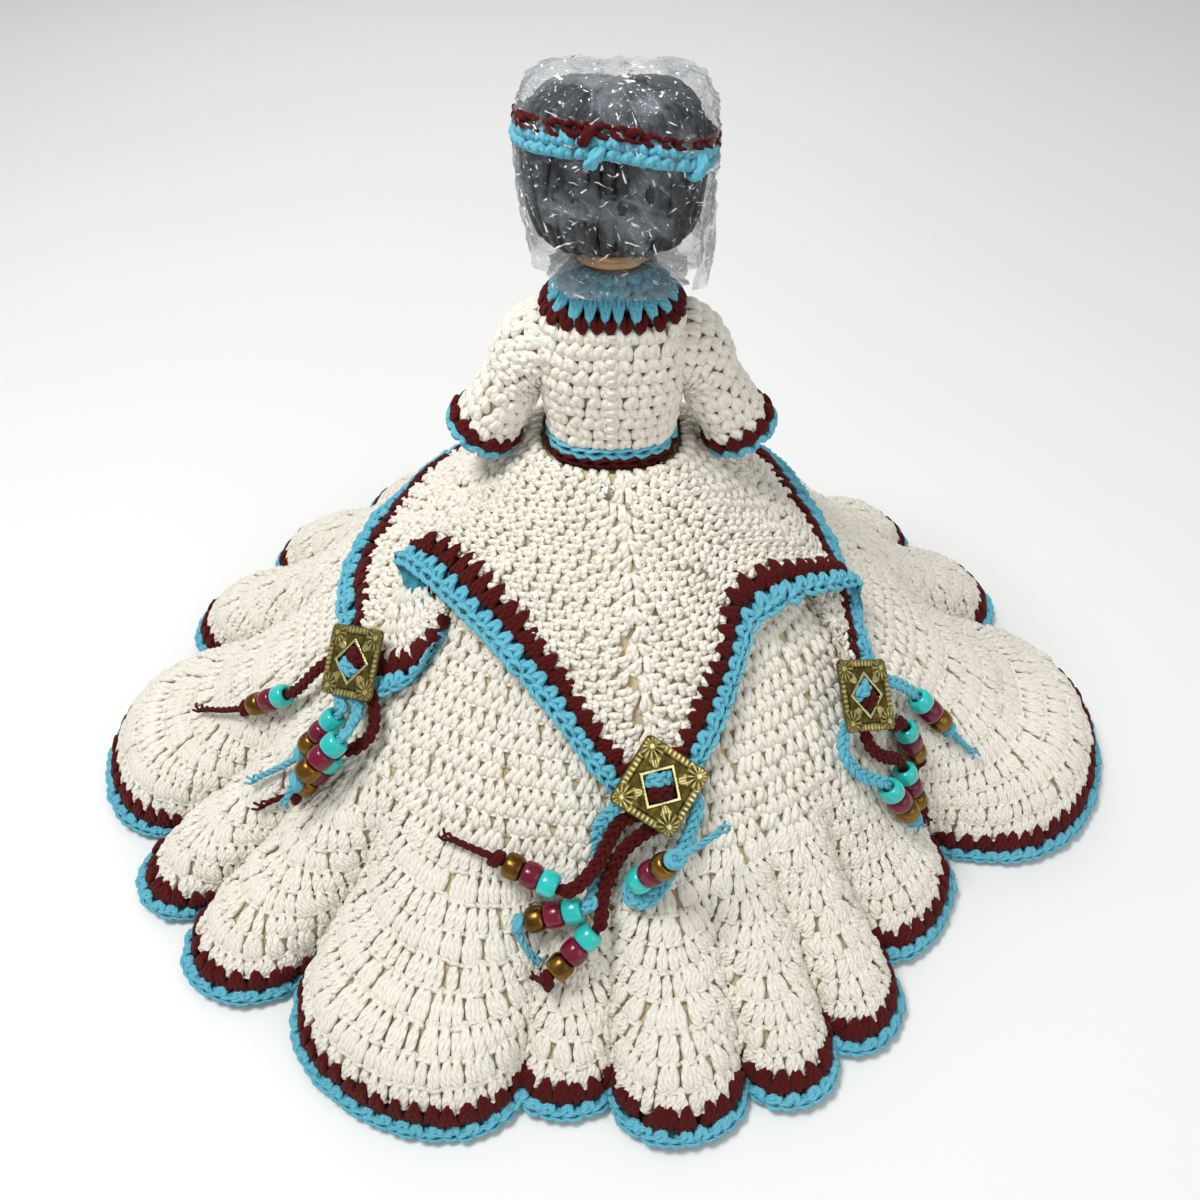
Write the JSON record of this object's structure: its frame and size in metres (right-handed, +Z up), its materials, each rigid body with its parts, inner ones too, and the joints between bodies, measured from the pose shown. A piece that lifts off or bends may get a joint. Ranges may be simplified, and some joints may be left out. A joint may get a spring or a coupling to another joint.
{
  "type": "crochet doll",
  "caption": "Craft doll in a full-length crocheted dress with coloured edging, a pointed overskirt, square conchos and beaded tassels, its head wrapped in clear film.",
  "frame": {"origin": "on the floor, under the middle of the skirt's bounding box and of the doll's waist", "axes": "+X to the doll's left, +Y to its back, +Z up"},
  "size_m": [0.4204, 0.3669, 0.2794],
  "materials": {
    "ivory_crochet": "crocheted acrylic yarn",
    "maroon_yarn": "crocheted acrylic yarn",
    "turquoise_yarn": "crocheted acrylic yarn",
    "doll_body": "satin vinyl",
    "doll_hair": "combed nylon fibre",
    "clear_film": "thin clear wrinkled film",
    "rubber_band": "matte",
    "snap_steel": "nickel",
    "concho_brass": "antiqued, embossed",
    "pony_bead": "glossy"
  },
  "bodies": {
    "torso": {"skirt_upper": "ivory_crochet", "flounce": "ivory_crochet", "overskirt": "ivory_crochet", "bodice": "ivory_crochet", "hem_row_maroon": "maroon_yarn", "hem_row_turquoise": "turquoise_yarn", "overskirt_row_maroon": "maroon_yarn", "overskirt_row_turquoise": "turquoise_yarn", "waist_row_maroon": "maroon_yarn", "waist_row_turquoise": "turquoise_yarn", "collar_row_maroon": "maroon_yarn", "collar_row_turquoise": "turquoise_yarn", "torso": "doll_body", "waist_snap": "snap_steel", "concho_back": "concho_brass", "concho_left": "concho_brass", "concho_right": "concho_brass", "concho_front": "concho_brass", "beads_back_maroon_1": "pony_bead", "beads_back_maroon_2": "pony_bead", "beads_back_turquoise_1": "pony_bead", "beads_back_turquoise_2": "pony_bead", "beads_left_maroon_1": "pony_bead", "beads_left_maroon_2": "pony_bead", "beads_left_turquoise_1": "pony_bead", "beads_left_turquoise_2": "pony_bead", "beads_right_maroon_1": "pony_bead", "beads_right_maroon_2": "pony_bead", "beads_right_turquoise_1": "pony_bead", "beads_right_turquoise_2": "pony_bead", "beads_front_maroon_1": "pony_bead", "beads_front_maroon_2": "pony_bead", "beads_front_turquoise_1": "pony_bead", "beads_front_turquoise_2": "pony_bead", "cord_maroon_back": "maroon_yarn", "cord_turquoise_back": "turquoise_yarn", "cord_maroon_left": "maroon_yarn", "cord_turquoise_left": "turquoise_yarn", "cord_maroon_right": "maroon_yarn", "cord_turquoise_right": "turquoise_yarn", "cord_maroon_front": "maroon_yarn", "cord_turquoise_front": "turquoise_yarn"},
    "head": {"head": "doll_body", "hair": "doll_hair", "headband": "turquoise_yarn", "film_wrap": "clear_film", "rubber_band": "rubber_band"},
    "arm_left": {"arm_left": "doll_body", "sleeve_left": "ivory_crochet", "cuff_row_maroon_left": "maroon_yarn", "cuff_row_turquoise_left": "turquoise_yarn"},
    "leg_left": {"leg_left": "doll_body"},
    "arm_right": {"arm_right": "doll_body", "sleeve_right": "ivory_crochet", "cuff_row_maroon_right": "maroon_yarn", "cuff_row_turquoise_right": "turquoise_yarn"},
    "leg_right": {"leg_right": "doll_body"}
  },
  "joints": [
    {"name": "head_turn", "type": "hinge", "parent": "torso", "child": "head", "pos_m": [0, 0, 0.214], "axis": [0, 0, 1], "range_deg": [-80, 80]},
    {"name": "arm_left_swing", "type": "hinge", "parent": "torso", "child": "arm_left", "pos_m": [0.0203, 0, 0.19], "axis": [-1, 0, 0], "range_deg": [-5, 95]},
    {"name": "arm_right_swing", "type": "hinge", "parent": "torso", "child": "arm_right", "pos_m": [-0.0203, 0, 0.19], "axis": [-1, 0, 0], "range_deg": [-5, 95]},
    {"name": "leg_left_swing", "type": "hinge", "parent": "torso", "child": "leg_left", "pos_m": [0.01, 0, 0.124], "axis": [-1, 0, 0], "range_deg": [-20, 35]},
    {"name": "leg_right_swing", "type": "hinge", "parent": "torso", "child": "leg_right", "pos_m": [-0.01, 0, 0.124], "axis": [-1, 0, 0], "range_deg": [-20, 35]}
  ]
}
